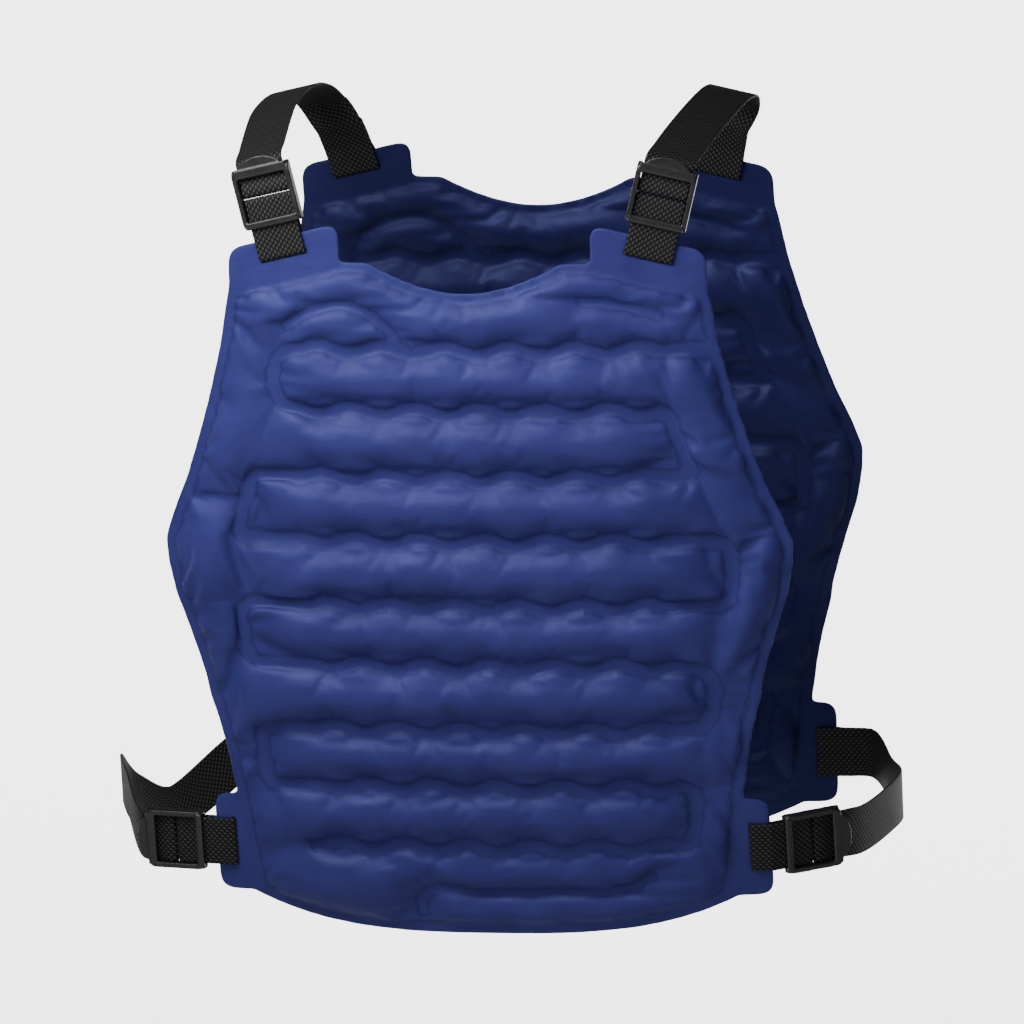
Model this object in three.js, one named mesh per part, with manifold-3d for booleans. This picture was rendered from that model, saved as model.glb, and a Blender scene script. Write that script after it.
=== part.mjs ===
import * as THREE from "three";
import { mergeVertices } from "three/addons/utils/BufferGeometryUtils.js";
import Module from "manifold-3d";

// A cooling vest: two quilted panels, front and back, joined by two shoulder straps and two waist straps.
// Millimetres, +Z up, -Y to the front. The origin lies midway between the two shoulder straps' undersides,
// at their highest point, where the wearer's shoulders carry the vest.
// Panel sizes are measured from the lowest point of the neckline: x to the side, z upwards.

const wasm = await Module();
wasm.setup();

// Webbing and its buckles
const WEB_WIDTH = 30;
const WEB_THICK = 1.5;
const CLEAR = 0.35;
const BUCKLE_LENGTH = 37;
const RAIL_WIDTH = 3.2;
const BAR_THICK = 2.2;
const BAR_WIDTH = 4.6;
const LIP_WIDTH = 6;
const BUCKLE_FROM_SLOT = 37;

// Panel outline
const CHEST_WIDTH = 386;
const PANEL_DROP = 400.5;
const NECK_WIDTH = 118;
const NECK_DEPTH = 18;
const HEM_WIDTH = 292;
const HEM_RISE = 21.5;
const SHOULDER_TAB_X = 112;
const SHOULDER_TAB_WIDTH = 70;
const SIDE_TAB_DROP = 346;
const SIDE_TAB_WIDTH = 62;
const SIDE_TAB_LENGTH = 19;
const TAB_CORNER = 8;
const TAB_THICK = 2;
const TAB_STRIP = 10.8;
const SLOT_HEIGHT = 3.2;
const SLOT_SLACK = 2;
const SHOULDER_SLOPE = THREE.MathUtils.degToRad(14);
const SHOULDER_EDGE_Z = 32.5;

// Quilting
const WELD_WIDTH = 6.2;
const WELD_THICK = 1.6;
const FLANGE = 5.5;
const PUFF = 8.6;
const WAVE_LENGTH = 39.4;
const WAVE_HEIGHT = 2.3;
const WAVE_SHIFT = 7;
const QUILT_HALF_WAVES = 12;

// The panels' distance from the wearer's middle, and how they curve round the torso
const FRONT_DEPTH = 125;
const FRONT_SAG = 19;
const BACK_DEPTH = 117;
const BACK_SAG = -6;
const BELLY_DROP = 180;
const BELLY_RADIUS = 1700;

// How far the straps stand away from their slots
const STRAP_RISE = 68;
const STRAP_LEAN = 23;
const RIGHT_REACH = 68;
const LEFT_REACH = 92;
const WAIST_LIFT = 20;
const SEWN_END = 34;
const SEWN_CURL = 60;
const STRAP_LEAD = 3;
const STRAP_STEPS = 28;
const RIGHT_BUCKLE_TURN = THREE.MathUtils.degToRad(24);

// Half widths of the panel from the tabs to the hem, as shares of the drop and of half the chest width
const SIDE_OUTLINE = [
  { drop: 0.0, half: 0.764 },
  { drop: 0.088, half: 0.796 },
  { drop: 0.165, half: 0.837 },
  { drop: 0.23, half: 0.878 },
  { drop: 0.292, half: 0.922 },
  { drop: 0.35, half: 0.974 },
  { drop: 0.387, half: 1.0 },
  { drop: 0.425, half: 0.995 },
  { drop: 0.474, half: 0.974 },
  { drop: 0.519, half: 0.94 },
  { drop: 0.562, half: 0.912 },
  { drop: 0.6, half: 0.889 },
  { drop: 0.632, half: 0.878 },
  { drop: 0.669, half: 0.855 },
  { drop: 0.712, half: 0.834 },
  { drop: 0.774, half: 0.813 },
  { drop: 0.86, half: 0.79 },
  { drop: 1.0, half: 0.75 },
];

// Weld lines of the serpentine: their drop, where their left and right ends lie, and on which side the
// line turns down into the next one. The shares are of the drop and of half the chest width.
const WELDS = [
  { drop: 0.087, left: 0.622, right: 0.694, turn: "left" },
  { drop: 0.18, left: 0.622, right: 0.694, turn: "right" },
  { drop: 0.282, left: 0.741, right: 0.694, turn: "left" },
  { drop: 0.38, left: 0.741, right: 0.793, turn: "right" },
  { drop: 0.481, left: 0.751, right: 0.793, turn: "left" },
  { drop: 0.575, left: 0.751, right: 0.725, turn: "right" },
  { drop: 0.675, left: 0.715, right: 0.725, turn: "left" },
  { drop: 0.766, left: 0.715, right: 0.653, turn: "right" },
  { drop: 0.862, left: 0.6, right: 0.653, turn: "none" },
  { drop: 0.93, left: 0.3, right: 0.22, turn: "none" },
];
const LAST_FULL_WELD = 8;

// Shoulder strap between its slots: share of the way to the back, of the rise and of the lean
const SHOULDER_ROUTE = [
  { back: 0.13, rise: 0.885, lean: 0.7 },
  { back: 0.3, rise: 0.96, lean: 0.86 },
  { back: 0.42, rise: 0.995, lean: 0.96 },
  { back: 0.54, rise: 1.0, lean: 1.0 },
  { back: 0.67, rise: 0.975, lean: 1.0 },
  { back: 0.79, rise: 0.91, lean: 0.96 },
  { back: 0.88, rise: 0.8, lean: 0.85 },
  { back: 0.94, rise: 0.65, lean: 0.69 },
];

// Waist straps between their slots: share of the way to the back, of the reach and of the lift
const RIGHT_ROUTE = [
  { back: 0.2, reach: 0.86, lift: 0 },
  { back: 0.46, reach: 1.0, lift: 0 },
  { back: 0.65, reach: 0.95, lift: -0.2 },
  { back: 0.79, reach: 0.78, lift: -0.3 },
];
const LEFT_ROUTE = [
  { back: 0.24, reach: 0.84, lift: 0.75 },
  { back: 0.44, reach: 0.98, lift: 0.6 },
  { back: 0.62, reach: 0.99, lift: -0.6 },
  { back: 0.77, reach: 0.84, lift: -1.4 },
];

// Sizes that follow from those above
const CHEST_HALF = CHEST_WIDTH / 2;
const HALF_WAVE = WAVE_LENGTH / 2;
const BUCKLE_WIDTH = WEB_WIDTH + 2 * (CLEAR + RAIL_WIDTH);
const WRAP_RADIUS = BAR_THICK / 2 + CLEAR + WEB_THICK / 2;
const WRAP_REACH = WRAP_RADIUS + WEB_THICK / 2;
const BAR_GAP = 3 * CLEAR;
const SHOULDER_SLOT_Z = SHOULDER_EDGE_Z - TAB_STRIP / Math.cos(SHOULDER_SLOPE);
const SIDE_TAB_REACH = halfWidth(-SIDE_TAB_DROP) + SIDE_TAB_LENGTH;
const SIDE_SLOT_X = SIDE_TAB_REACH - TAB_STRIP;
const NECK_Z = WEB_THICK / 2 - STRAP_RISE - SHOULDER_SLOT_Z;

const fabric = new THREE.MeshStandardMaterial({ color: 0x2c3d7c, roughness: 0.42, metalness: 0 });
const webbing = new THREE.MeshStandardMaterial({ color: 0x101011, roughness: 0.85, metalness: 0 });
const plastic = new THREE.MeshStandardMaterial({ color: 0x17181a, roughness: 0.5, metalness: 0 });

// Straight interpolation in a table of rows, by one named column
function lookUp(table, column, value, at) {
  let k = 1;
  while (k < table.length - 1 && table[k][column] < at) k += 1;
  const low = table[k - 1];
  const high = table[k];
  const share = THREE.MathUtils.clamp((at - low[column]) / (high[column] - low[column]), 0, 1);
  return THREE.MathUtils.lerp(low[value], high[value], share);
}

// Closed solid between two faces, each a grid of points: pointAt(row, column, face), face 0 or 1.
// A ring's rows close on themselves.
function gridSolid(rows, columns, pointAt, ring = false) {
  const positions = [];
  for (const face of [0, 1]) {
    for (let i = 0; i < rows; i += 1) {
      for (let j = 0; j < columns; j += 1) positions.push(...pointAt(i, j, face).toArray());
    }
  }
  const at = (i, j, face) => (face * rows + (i % rows)) * columns + j;
  const index = [];
  const quad = (a, b, c, d) => index.push(a, b, c, a, c, d);
  const lastRow = ring ? rows : rows - 1;
  for (let i = 0; i < lastRow; i += 1) {
    for (let j = 0; j < columns - 1; j += 1) {
      quad(at(i, j, 0), at(i + 1, j, 0), at(i + 1, j + 1, 0), at(i, j + 1, 0));
      quad(at(i, j, 1), at(i, j + 1, 1), at(i + 1, j + 1, 1), at(i + 1, j, 1));
    }
    quad(at(i, 0, 0), at(i, 0, 1), at(i + 1, 0, 1), at(i + 1, 0, 0));
    quad(at(i, columns - 1, 0), at(i + 1, columns - 1, 0), at(i + 1, columns - 1, 1), at(i, columns - 1, 1));
  }
  if (!ring) {
    for (let j = 0; j < columns - 1; j += 1) {
      quad(at(0, j, 0), at(0, j + 1, 0), at(0, j + 1, 1), at(0, j, 1));
      quad(at(lastRow, j, 0), at(lastRow, j, 1), at(lastRow, j + 1, 1), at(lastRow, j + 1, 0));
    }
  }
  const geometry = new THREE.BufferGeometry();
  geometry.setAttribute("position", new THREE.Float32BufferAttribute(positions, 3));
  geometry.setIndex(index);
  return toSolid(geometry);
}

// A closed geometry as a solid that can be joined and cut, turned right side out
function toSolid(geometry) {
  const bare = new THREE.BufferGeometry();
  bare.setAttribute("position", geometry.getAttribute("position"));
  bare.setIndex(geometry.getIndex());
  const merged = mergeVertices(bare, 1e-4);
  const mesh = { numProp: 3, vertProperties: merged.attributes.position.array };
  const triVerts = new Uint32Array(merged.index.array);
  const solid = new wasm.Manifold(new wasm.Mesh({ ...mesh, triVerts }));
  if (solid.volume() > 0) return solid;
  return new wasm.Manifold(new wasm.Mesh({ ...mesh, triVerts: triVerts.reverse() }));
}

function toMesh(name, solid, material) {
  const made = solid.getMesh();
  const geometry = new THREE.BufferGeometry();
  geometry.setAttribute("position", new THREE.Float32BufferAttribute(made.vertProperties, made.numProp));
  geometry.setIndex(new THREE.Uint32BufferAttribute(made.triVerts, 1));
  geometry.computeVertexNormals();
  const mesh = new THREE.Mesh(geometry, material);
  mesh.name = name;
  return mesh;
}

// A flat shape with its thickness, placed by a matrix
function plate(shape, depth, matrix, curveSegments) {
  const geometry = new THREE.ExtrudeGeometry(shape, { depth, bevelEnabled: false, curveSegments });
  geometry.applyMatrix4(matrix);
  return toSolid(geometry);
}

// A point of a panel's middle surface, bent round the torso. side is -1 for the front and 1 for the back.
function bend(side, x, z, outward = 0) {
  const [depth, sag] = side < 0 ? [FRONT_DEPTH, FRONT_SAG] : [BACK_DEPTH, BACK_SAG];
  const away = depth - sag * (x / CHEST_HALF) ** 2 - (z + BELLY_DROP) ** 2 / (2 * BELLY_RADIUS);
  return new THREE.Vector3(x, side * (away + outward), z + NECK_Z);
}

function halfWidth(z) {
  return CHEST_HALF * lookUp(SIDE_OUTLINE, "drop", "half", -z / PANEL_DROP);
}

// Upper edge of the quilted area: the neckline, a short level, then the sloping foot of the shoulder tab
function upperEdge(x) {
  const neckHalf = NECK_WIDTH / 2;
  const tabStart = SHOULDER_TAB_X - SHOULDER_TAB_WIDTH / 2;
  if (Math.abs(x) < neckHalf) return NECK_DEPTH * (Math.abs(x) / neckHalf) ** 1.9;
  return NECK_DEPTH - Math.max(0, Math.abs(x) - tabStart) * Math.tan(SHOULDER_SLOPE);
}

// How far the hem rises towards its corners
function hemLift(x) {
  return HEM_RISE * (Math.abs(x) / (HEM_WIDTH / 2)) ** 3.2;
}

function lowerEdge(x) {
  return -PANEL_DROP + hemLift(x);
}

// Height of a weld line at x. Neighbouring lines wave against each other, and run level in the margins.
// The short lines at the bottom follow most of the hem's rise.
function weldZ(number, x) {
  const inQuilt = Math.abs(x - WAVE_SHIFT + HALF_WAVE / 2) < (QUILT_HALF_WAVES / 2) * HALF_WAVE;
  const wave = inQuilt ? WAVE_HEIGHT * Math.cos((Math.PI * (x - WAVE_SHIFT)) / HALF_WAVE) : 0;
  const lift = number > LAST_FULL_WELD ? 0.8 * hemLift(x) : 0;
  return lift - WELDS[number].drop * PANEL_DROP + (number % 2 ? wave : -wave);
}

// Rows of the quilt from the upper to the lower edge: their height, the weld or channel that they are in,
// and how full they are
function quiltRows() {
  const rows = [
    { z: upperEdge, puff: 0 },
    { z: (x) => upperEdge(x) - FLANGE, puff: 0 },
  ];
  const between = (above, below, share) => (x) => THREE.MathUtils.lerp(above(x), below(x), share);
  let above = rows[1].z;
  WELDS.forEach((weld, number) => {
    const top = (x) => weldZ(number, x) + WELD_WIDTH / 2;
    const foot = (x) => weldZ(number, x) - WELD_WIDTH / 2;
    const shares = number <= LAST_FULL_WELD ? [0.24, 0.76] : [0.5];
    const fullness = number <= LAST_FULL_WELD ? 0.9 : 0.6;
    for (const share of shares) rows.push({ z: between(above, top, share), channel: number, puff: fullness });
    rows.push({ z: top, weld: number, puff: 0 });
    rows.push({ z: foot, weld: number, puff: 0 });
    above = foot;
  });
  const hem = (x) => lowerEdge(x) + FLANGE;
  rows.push({ z: between(above, hem, 0.5), channel: WELDS.length, puff: 0.6 });
  rows.push({ z: hem, puff: 0 });
  rows.push({ z: lowerEdge, puff: 0 });
  return rows;
}

// Columns of the quilt from left to right: one at each crest and trough of the waves, then on each side
// the two edges of the channels' closed ends, the middle of the margin and the two edges of the flange
function quiltColumns() {
  const inner = [];
  for (let k = 0; k < QUILT_HALF_WAVES; k += 1) {
    inner.push({ kind: "quilt", x: WAVE_SHIFT + (k - QUILT_HALF_WAVES / 2) * HALF_WAVE });
  }
  const outer = (side) => [
    { kind: "end", side, step: -WELD_WIDTH / 2 },
    { kind: "end", side, step: WELD_WIDTH / 2 },
    { kind: "margin", side },
    { kind: "flange", side, step: -FLANGE },
    { kind: "flange", side, step: 0 },
  ];
  return [...outer("left").reverse(), ...inner, ...outer("right")];
}

// Sideways place of a column at a height
function columnX(column, z) {
  if (column.kind === "quilt") return column.x;
  const sign = column.side === "left" ? -1 : 1;
  const border = halfWidth(z);
  if (column.kind === "flange") return sign * (border + column.step);
  const full = WELDS.slice(0, LAST_FULL_WELD + 1);
  const end = CHEST_HALF * lookUp(full, "drop", column.side, -z / PANEL_DROP);
  if (column.kind === "end") return sign * (end + column.step);
  return sign * ((end + WELD_WIDTH / 2 + border - FLANGE) / 2);
}

// How full the quilt is where a row and a column cross, from 0 on a weld to 1
function fullness(row, column, x) {
  if (column.kind === "flange" || (row.puff === 0 && row.weld === undefined)) return 0;
  if (row.weld !== undefined) {
    const weld = WELDS[row.weld];
    const reach = x < 0 ? weld.left : weld.right;
    const first = row.weld === 0 && column.side === "right";
    const shut = first || (column.kind !== "margin" && Math.abs(x) < reach * CHEST_HALF + WELD_WIDTH);
    return shut ? 0 : 0.7;
  }
  const above = WELDS[row.channel - 1];
  if (column.kind === "end" && above && above.turn === column.side) return 0;
  return column.kind === "margin" ? 0.95 : row.puff;
}

function quilt(side) {
  const rows = quiltRows();
  const columns = quiltColumns();
  return gridSolid(rows.length, columns.length, (i, j, face) => {
    const row = rows[i];
    const column = columns[j];
    const nominal = column.kind === "quilt" ? column.x : HEM_WIDTH / 2;
    const x = columnX(column, row.z(nominal));
    const half = WELD_THICK / 2 + PUFF * fullness(row, column, x);
    return bend(side, x, row.z(x), face === 0 ? -half : half);
  });
}

// How far a rounded corner draws an edge back, at a distance from the end of the edge
function cornerDrop(fromEnd) {
  const inside = Math.max(0, TAB_CORNER - fromEnd);
  return TAB_CORNER - Math.sqrt(TAB_CORNER ** 2 - inside ** 2);
}

// A welded tab without its slot. place(along, share) gives x and z, from the foot to the outer edge.
function tab(side, width, place) {
  const corner = [0, 0.2, 1].map((share) => share * TAB_CORNER);
  const along = [...corner, width / 2, ...corner.map((station) => width - station).reverse()];
  return gridSolid(along.length, 2, (i, j, face) => {
    const fromEnd = Math.min(along[i], width - along[i]);
    const [x, z] = place(along[i] - width / 2, j, cornerDrop(fromEnd));
    return bend(side, x, z, face === 0 ? -TAB_THICK / 2 : TAB_THICK / 2);
  });
}

function shoulderTab(side, hand) {
  return tab(side, SHOULDER_TAB_WIDTH, (along, share, drop) => {
    const x = SHOULDER_TAB_X + along;
    const edge = SHOULDER_EDGE_Z - along * Math.tan(SHOULDER_SLOPE) - drop;
    return [hand * x, THREE.MathUtils.lerp(upperEdge(x) - 0.8 * FLANGE, edge, share)];
  });
}

function sideTab(side, hand) {
  return tab(side, SIDE_TAB_WIDTH, (along, share, drop) => {
    const z = along - SIDE_TAB_DROP;
    return [hand * THREE.MathUtils.lerp(halfWidth(z) - 0.8 * FLANGE, SIDE_TAB_REACH - drop, share), z];
  });
}

// Frame of a tab's slot: its edge nearest the strap's side, the way out of the panel, the way along the
// slot and the way off the face that is turned away from the wearer
function slotFrame(side, hand, place) {
  const shoulder = place === "shoulder";
  const x = hand * (shoulder ? SHOULDER_TAB_X : SIDE_SLOT_X);
  const z = shoulder ? SHOULDER_SLOT_Z : -SIDE_TAB_DROP;
  const turn = shoulder ? SHOULDER_SLOPE : Math.PI / 2;
  const at = bend(side, x, z);
  const dx = hand * Math.sin(turn);
  const dz = Math.cos(turn);
  const out = bend(side, x + dx, z + dz).sub(bend(side, x - dx, z - dz)).normalize();
  const along = bend(side, x + dz, z - dx).sub(bend(side, x - dz, z + dx)).normalize();
  const off = new THREE.Vector3().crossVectors(out, along).normalize();
  if (off.y * side < 0) off.negate();
  return { at, out, along, off };
}

function inFrame(frame, out, off) {
  return frame.at.clone().addScaledVector(frame.out, out).addScaledVector(frame.off, off);
}

function frameMatrix(frame, out, off) {
  const matrix = new THREE.Matrix4().makeBasis(frame.out, frame.off, frame.along);
  return matrix.setPosition(inFrame(frame, out, off));
}

// A point of the webbing that leaves a back tab: flat on the tab, then curling forwards
function curled(frame, out, off) {
  const angle = Math.max(0, out - TAB_STRIP) / SEWN_CURL;
  const flat = Math.min(out, TAB_STRIP);
  const radius = SEWN_CURL + off;
  return inFrame(frame, flat + radius * Math.sin(angle), radius * Math.cos(angle) - SEWN_CURL);
}

// The hole that the webbing passes through
function slotCutter(frame) {
  const length = WEB_WIDTH + SLOT_SLACK;
  const box = new THREE.BoxGeometry(SLOT_HEIGHT, 10 * TAB_THICK, length);
  box.applyMatrix4(frameMatrix(frame, -SLOT_HEIGHT / 2, 0));
  return toSolid(box);
}

function panel(side) {
  let solid = quilt(side);
  for (const hand of [-1, 1]) solid = solid.add(shoulderTab(side, hand)).add(sideTab(side, hand));
  for (const hand of [-1, 1]) {
    for (const place of ["shoulder", "waist"]) {
      solid = solid.subtract(slotCutter(slotFrame(side, hand, place)));
    }
  }
  return solid;
}

// Band of webbing along stations, each a point and the direction across the band
function band(stations, ring = false) {
  const count = stations.length;
  const near = (i) => (ring ? (i + count) % count : THREE.MathUtils.clamp(i, 0, count - 1));
  return gridSolid(count, 2, (i, j, face) => {
    const { at, across } = stations[i];
    const tangent = stations[near(i + 1)].at.clone().sub(stations[near(i - 1)].at).normalize();
    const wide = across.clone().addScaledVector(tangent, -across.dot(tangent)).normalize();
    const thick = new THREE.Vector3().crossVectors(tangent, wide);
    const offset = face === 0 ? -WEB_THICK / 2 : WEB_THICK / 2;
    return at.clone().addScaledVector(wide, (j - 0.5) * WEB_WIDTH).addScaledVector(thick, offset);
  }, ring);
}

// Stations of a half turn round a bar or a slot's edge, in a slot's frame: way is 1 when the webbing turns
// away from the panel and -1 when it turns back towards it, and from is the face that it starts on
function halfTurn(frame, out, way, from, steps = 6) {
  return Array.from({ length: steps + 1 }, (_, k) => {
    const angle = (Math.PI * k) / steps;
    const beyond = way * WRAP_RADIUS * Math.sin(angle);
    return { at: inFrame(frame, out + beyond, from * WRAP_RADIUS * Math.cos(angle)), across: frame.along };
  });
}

// Places of the buckle's parts along the webbing, measured from the slot
const BUCKLE_FOOT = BUCKLE_FROM_SLOT - BUCKLE_LENGTH / 2;
const BUCKLE_HEAD = BUCKLE_FROM_SLOT + BUCKLE_LENGTH / 2;
const LOOP_TURN = BUCKLE_FROM_SLOT - BAR_GAP / 2 - WRAP_REACH + CLEAR;
const STRAP_TURN = BUCKLE_FROM_SLOT + BAR_GAP / 2 + WRAP_REACH - CLEAR;
const EDGE_TURN = TAB_THICK / 4;
const HINGE = TAB_STRIP + CLEAR;

// The frame that a buckle hangs in: the slot's frame, turned towards the wearer just past the tab's edge
function hungFrame(frame, turn) {
  const hinge = inFrame(frame, HINGE, 0);
  const out = frame.out.clone().multiplyScalar(Math.cos(turn)).addScaledVector(frame.off, -Math.sin(turn));
  const off = frame.off.clone().multiplyScalar(Math.cos(turn)).addScaledVector(frame.out, Math.sin(turn));
  return { at: hinge.addScaledVector(out, -HINGE), out, along: frame.along, off };
}

// Short loop of webbing that ties a buckle to its tab
function anchorLoop(frame, hung) {
  const outerTurn = halfTurn(hung, LOOP_TURN, 1, 1);
  const innerTurn = halfTurn(frame, EDGE_TURN, -1, -1);
  const beside = (sign) => ({ at: inFrame(frame, HINGE, sign * WRAP_RADIUS), across: frame.along });
  return band([...outerTurn, beside(-1), ...innerTurn, beside(1)], true);
}

// Stations of a smooth run through points. The direction across turns between the straight ends.
function smoothRun(points, from, to, steps) {
  const curve = new THREE.CatmullRomCurve3(points, false, "centripetal");
  return Array.from({ length: steps + 1 }, (_, k) => {
    const share = k / steps;
    const turned = THREE.MathUtils.smoothstep(share, 0.12, 0.88);
    return { at: curve.getPointAt(share), across: from.clone().lerp(to, turned).normalize() };
  });
}

// Long strap: a short tail behind the buckle, the turn round its upper middle bar, the way under its lip,
// the free run to the back, the turn through the back tab's slot and the sewn end
function strap(front, back, route) {
  const underLip = WEB_THICK / 2 + CLEAR - BAR_THICK / 4;
  const turn = halfTurn(front, STRAP_TURN, -1, -1);
  const tail = { at: inFrame(front, BUCKLE_HEAD - LIP_WIDTH / 2, -WRAP_RADIUS), across: front.along };
  const points = [
    inFrame(front, STRAP_TURN + BAR_WIDTH / 2, WRAP_RADIUS),
    inFrame(front, BUCKLE_HEAD - LIP_WIDTH, underLip),
    inFrame(front, BUCKLE_HEAD + STRAP_LEAD, underLip),
    ...route,
    curled(back, SEWN_END, -WRAP_RADIUS),
    curled(back, SEWN_END / 2, -WRAP_RADIUS),
  ];
  const across = back.along.clone().multiplyScalar(Math.sign(front.along.dot(back.along)));
  const run = smoothRun(points, front.along, across, STRAP_STEPS);
  const end = halfTurn(back, EDGE_TURN, -1, -1).map(({ at }) => ({ at, across }));
  const beside = WEB_THICK + CLEAR - WRAP_RADIUS;
  const sewn = [
    { at: inFrame(back, TAB_STRIP, WRAP_RADIUS), across },
    { at: curled(back, TAB_STRIP + 2 * WRAP_RADIUS, beside), across },
    { at: curled(back, (TAB_STRIP + SEWN_END) / 2, beside), across },
    { at: curled(back, SEWN_END, beside), across },
  ];
  return band([tail, ...turn, ...run, ...end, ...sewn]);
}

function shoulderRoute(front, back) {
  return SHOULDER_ROUTE.map(({ back: share, rise, lean }) => {
    const at = front.at.clone().lerp(back.at, share);
    at.x += Math.sign(at.x) * STRAP_LEAN * lean;
    at.z += STRAP_RISE * rise;
    return at;
  });
}

function waistRoute(front, back) {
  const [table, reach] = front.at.x < 0 ? [LEFT_ROUTE, LEFT_REACH] : [RIGHT_ROUTE, RIGHT_REACH];
  return table.map((row) => {
    const at = front.at.clone().lerp(back.at, row.back);
    at.x += Math.sign(at.x) * reach * row.reach;
    at.z += WAIST_LIFT * row.lift;
    return at;
  });
}

// A bar across the buckle, its section a flat with round edges
function bar(frame, out, off, width, thick) {
  const shape = new THREE.Shape();
  const radius = thick / 2;
  const half = width / 2 - radius;
  shape.absarc(half, 0, radius, -Math.PI / 2, Math.PI / 2, false);
  shape.absarc(-half, 0, radius, Math.PI / 2, -Math.PI / 2, false);
  const matrix = frameMatrix(frame, out, off);
  matrix.multiply(new THREE.Matrix4().makeTranslation(0, 0, RAIL_WIDTH / 2 - BUCKLE_WIDTH / 2));
  return plate(shape, BUCKLE_WIDTH - RAIL_WIDTH, matrix, 1);
}

// A side rail of the buckle, arched away from the wearer
function rail(frame, sign) {
  const shape = new THREE.Shape();
  const half = BUCKLE_LENGTH / 2;
  const foot = -BAR_THICK / 2 - CLEAR;
  const top = WRAP_REACH + BAR_THICK;
  shape.moveTo(-half, 0);
  shape.quadraticCurveTo(-half, foot, -half + BAR_THICK, foot);
  shape.lineTo(half - BAR_THICK, foot);
  shape.quadraticCurveTo(half, foot, half, 0);
  shape.quadraticCurveTo(half, top, half - LIP_WIDTH, top);
  shape.lineTo(LIP_WIDTH - half, top);
  shape.quadraticCurveTo(-half, top, -half, 0);
  const matrix = frameMatrix(frame, BUCKLE_FROM_SLOT, 0);
  const inner = sign < 0 ? -BUCKLE_WIDTH / 2 : BUCKLE_WIDTH / 2 - RAIL_WIDTH;
  matrix.multiply(new THREE.Matrix4().makeTranslation(0, 0, inner));
  return plate(shape, RAIL_WIDTH, matrix, 2);
}

// Ladder buckle: two side rails, a lip over the long strap, two middle bars and a foot bar
function buckle(frame) {
  const over = WRAP_RADIUS + WEB_THICK / 2 + CLEAR + BAR_THICK / 2;
  const middle = BAR_WIDTH / 2 - BAR_THICK / 2;
  return [
    rail(frame, -1),
    rail(frame, 1),
    bar(frame, LOOP_TURN - middle, 0, BAR_WIDTH, BAR_THICK),
    bar(frame, STRAP_TURN + middle, 0, BAR_WIDTH, BAR_THICK),
    bar(frame, BUCKLE_FOOT + BAR_WIDTH / 2, over, BAR_WIDTH, BAR_THICK),
    bar(frame, BUCKLE_HEAD - LIP_WIDTH / 2, over - CLEAR, LIP_WIDTH, BAR_THICK),
  ].reduce((made, piece) => made.add(piece));
}

const vest = new THREE.Group();
vest.add(toMesh("front_panel", panel(-1), fabric));
vest.add(toMesh("back_panel", panel(1), fabric));
for (const [handName, hand] of [["left", -1], ["right", 1]]) {
  for (const place of ["shoulder", "waist"]) {
    const front = slotFrame(-1, hand, place);
    const back = slotFrame(1, hand, place);
    const route = place === "shoulder" ? shoulderRoute(front, back) : waistRoute(front, back);
    const hung = hungFrame(front, place === "waist" && hand > 0 ? RIGHT_BUCKLE_TURN : 0);
    const name = `${place}_${handName}`;
    vest.add(toMesh(`${name}_strap`, strap(hung, back, route), webbing));
    vest.add(toMesh(`${name}_anchor_loop`, anchorLoop(front, hung), webbing));
    vest.add(toMesh(`${name}_buckle`, buckle(hung), plastic));
  }
}

export default vest;
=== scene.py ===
import math

import bmesh
import bpy
import numpy as np
from mathutils import Matrix, Vector
from mathutils.geometry import delaunay_2d_cdt
from mathutils.kdtree import KDTree
from mathutils.noise import noise_vector, seed_set


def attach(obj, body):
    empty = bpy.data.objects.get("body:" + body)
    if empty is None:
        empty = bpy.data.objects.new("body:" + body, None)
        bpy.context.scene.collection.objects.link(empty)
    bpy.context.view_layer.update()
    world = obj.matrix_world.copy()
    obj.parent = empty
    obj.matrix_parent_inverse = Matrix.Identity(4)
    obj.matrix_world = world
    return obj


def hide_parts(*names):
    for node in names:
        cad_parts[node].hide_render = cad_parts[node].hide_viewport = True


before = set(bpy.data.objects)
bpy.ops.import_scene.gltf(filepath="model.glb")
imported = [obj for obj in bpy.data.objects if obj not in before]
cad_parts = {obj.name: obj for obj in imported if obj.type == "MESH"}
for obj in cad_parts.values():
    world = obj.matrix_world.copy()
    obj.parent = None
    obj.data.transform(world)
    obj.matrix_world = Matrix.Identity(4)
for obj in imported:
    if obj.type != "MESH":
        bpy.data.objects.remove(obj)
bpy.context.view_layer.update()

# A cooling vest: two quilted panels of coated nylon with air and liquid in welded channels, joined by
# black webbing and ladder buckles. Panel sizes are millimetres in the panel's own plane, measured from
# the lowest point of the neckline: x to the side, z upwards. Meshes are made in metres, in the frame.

MM = 0.001

# Webbing and its buckles, with the gap that touching pieces keep. The lip's root and reach are measured
# from the middle of the bar that it grows from, and the turn round a slot's edge is centred just past it.
WEB_WIDTH = 30.0
WEB_THICK = 1.5
CLEAR = 0.35
BUCKLE_LENGTH = 37.0
RAIL_WIDTH = 3.2
BAR_THICK = 2.2
BAR_WIDTH = 4.6
LIP_WIDTH = 6.0
LIP_REACH = 9.0
LIP_ROOT = 2.0
LIP_CORNER = 0.15
LIP_THICK = 1.6
BUCKLE_FROM_SLOT = 37.0
EDGE_TURN = 0.5
FUSE_VOXEL = 0.55

# Weave of the webbing: ribs across its width, mesh steps across each rib, the length of a mesh step and
# the steps until the weave repeats, and how far the raised yarns stand out and the edges thin out
RIBS = 17
RIB_STEPS = 2
WEAVE_STEP = 0.85
WEAVE_REPEAT = 4
WEAVE_RELIEF = 0.3
EDGE_THINNING = 0.25

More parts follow.
